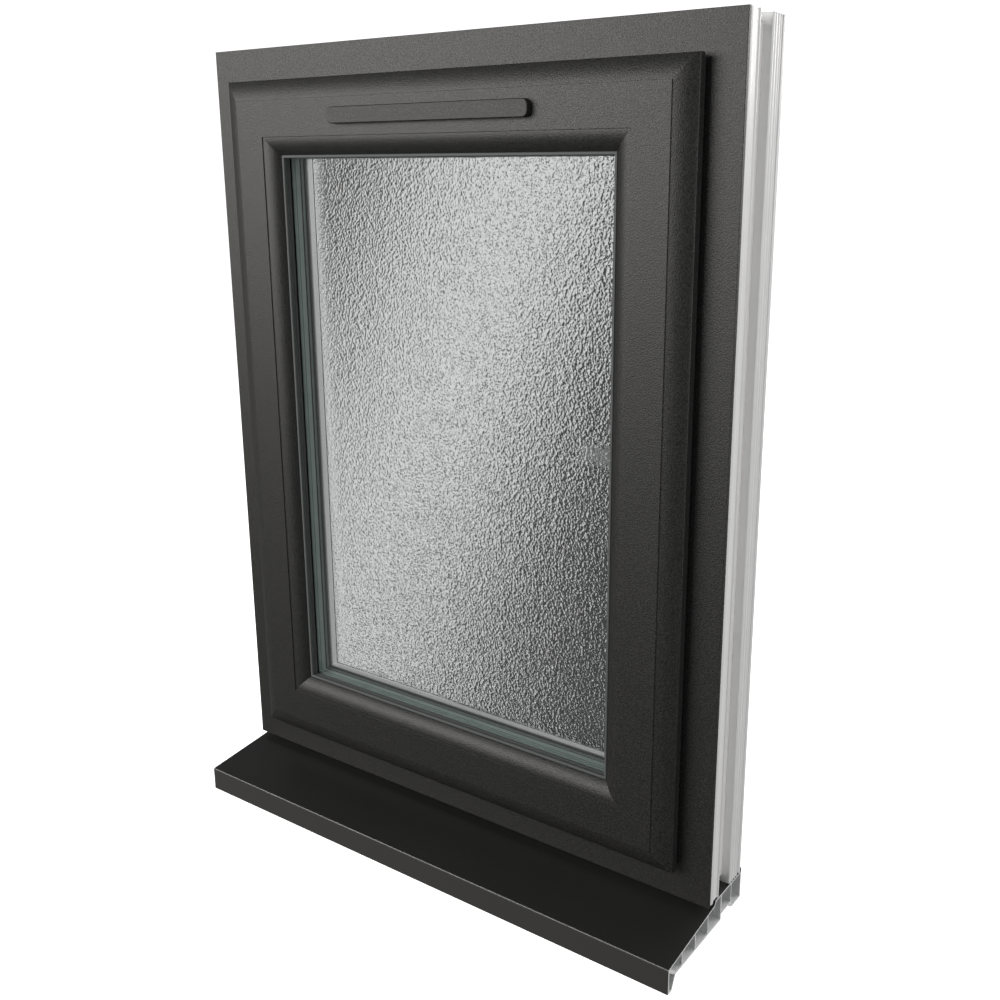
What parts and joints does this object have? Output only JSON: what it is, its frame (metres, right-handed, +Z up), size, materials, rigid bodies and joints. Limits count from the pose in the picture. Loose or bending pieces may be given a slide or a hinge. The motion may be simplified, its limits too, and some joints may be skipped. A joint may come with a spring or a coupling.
{
  "type": "side-hung casement window",
  "caption": "Outward-opening side-hung casement window with sill, sculptured sash, obscure double glazing, trickle vent, friction stays and espagnolette lock.",
  "frame": {"origin": "middle of the window's width, in the plane of the frame's outside face, on the sill's flat bedding face", "axes": "+X to the right seen from outside, +Y through the wall into the room, +Z up; the sill's nose points to -Y"},
  "size_m": [0.6, 0.1714, 0.82],
  "materials": {
    "foil_profile": "dark grey grained foil outside, white inside, semi-matt",
    "white_profile": "smooth white",
    "seal_rubber": "black",
    "glazing_rubber": "grey",
    "clear_glass": "clear float",
    "obscure_glass": "fine hammered pattern",
    "spacer_grey": "grey-green",
    "unit_sealant": "black",
    "packer_plastic": "plain",
    "stay_steel": "ferritic stainless sheet",
    "plated_steel": "zinc plated",
    "zinc_cast": "die cast, plated",
    "screw_steel": "zinc plated",
    "handle_white": "white powder coat"
  },
  "bodies": {
    "frame": {"frame_head": "foil_profile", "frame_base": "foil_profile", "frame_jamb_left": "foil_profile", "frame_jamb_right": "foil_profile", "sill": "foil_profile", "sill_screws": "screw_steel", "frame_seal_outer": "seal_rubber", "frame_seal_inner": "seal_rubber", "stay_track_bottom": "stay_steel", "stay_track_top": "stay_steel", "track_screws": "screw_steel", "keep_lower": "zinc_cast", "keep_middle": "zinc_cast", "keep_upper": "zinc_cast", "keep_screws": "screw_steel"},
    "short_arms": {"short_arm_bottom": "stay_steel", "short_arm_top": "stay_steel"},
    "long_arms": {"long_arm_bottom": "stay_steel", "long_arm_top": "stay_steel"},
    "sash": {"sash_head": "foil_profile", "sash_base": "foil_profile", "sash_stile_hinge": "foil_profile", "sash_stile_lock": "foil_profile", "outer_pane": "clear_glass", "inner_pane": "obscure_glass", "spacer_bar": "spacer_grey", "edge_seal": "unit_sealant", "glazing_gasket": "glazing_rubber", "bead_gasket": "glazing_rubber", "bead_head": "white_profile", "bead_base": "white_profile", "bead_left": "white_profile", "bead_right": "white_profile", "glazing_packers": "packer_plastic", "sash_bar_bottom": "stay_steel", "sash_bar_top": "stay_steel", "sash_bar_screws": "screw_steel", "lock_faceplate": "plated_steel", "faceplate_screws": "screw_steel", "gearbox_case": "zinc_cast", "handle_backplate": "handle_white", "handle_screws": "screw_steel", "vent_canopy": "foil_profile", "vent_body": "white_profile", "vent_end_caps": "white_profile", "vent_screws": "screw_steel"},
    "lock_rod": {"locking_rod": "plated_steel", "locking_cams": "zinc_cast"},
    "handle": {"handle_lever": "handle_white", "handle_spindle": "plated_steel", "gearbox_follower": "plated_steel"},
    "button": {"lock_button": "handle_white"},
    "shutter": {"vent_shutter": "white_profile"}
  },
  "joints": [
    {"name": "stay", "type": "hinge", "parent": "frame", "child": "short_arms", "pos_m": [-0.176, 0.022, 0.418], "axis": [0, 0, 1], "range_deg": [0, 60]},
    {"name": "sash_pivot", "type": "hinge", "parent": "short_arms", "child": "sash", "pos_m": [-0.236, 0.022, 0.418], "axis": [0, 0, 1], "range_deg": [-120.1, 0]},
    {"name": "long_arm_pivot", "type": "hinge", "parent": "frame", "child": "long_arms", "pos_m": [-0.0734, 0.022, 0.418], "axis": [0, 0, 1], "range_deg": [0, 31.5]},
    {"name": "handle_turn", "type": "hinge", "parent": "sash", "child": "handle", "pos_m": [0.226, 0.0588, 0.418], "axis": [0, -1, 0], "range_deg": [0, 90]},
    {"name": "rod_slide", "type": "slide", "parent": "sash", "child": "lock_rod", "axis": [0, 0, -1], "range_m": [0, 0.01801]},
    {"name": "button_press", "type": "slide", "parent": "handle", "child": "button", "axis": [0, -1, 0], "range_m": [0, 0.0028], "stiffness_N_per_m": 150, "springref_m": -0.001},
    {"name": "vent_slide", "type": "slide", "parent": "sash", "child": "shutter", "axis": [1, 0, 0], "range_m": [0, 0.012]}
  ],
  "couplings": [
    {"joint": "sash_pivot", "follows": "stay", "ratio": -2},
    {"joint": "long_arm_pivot", "follows": "stay", "ratio": 0.523},
    {"joint": "rod_slide", "follows": "handle_turn", "m_per_rad": 0.011459}
  ]
}
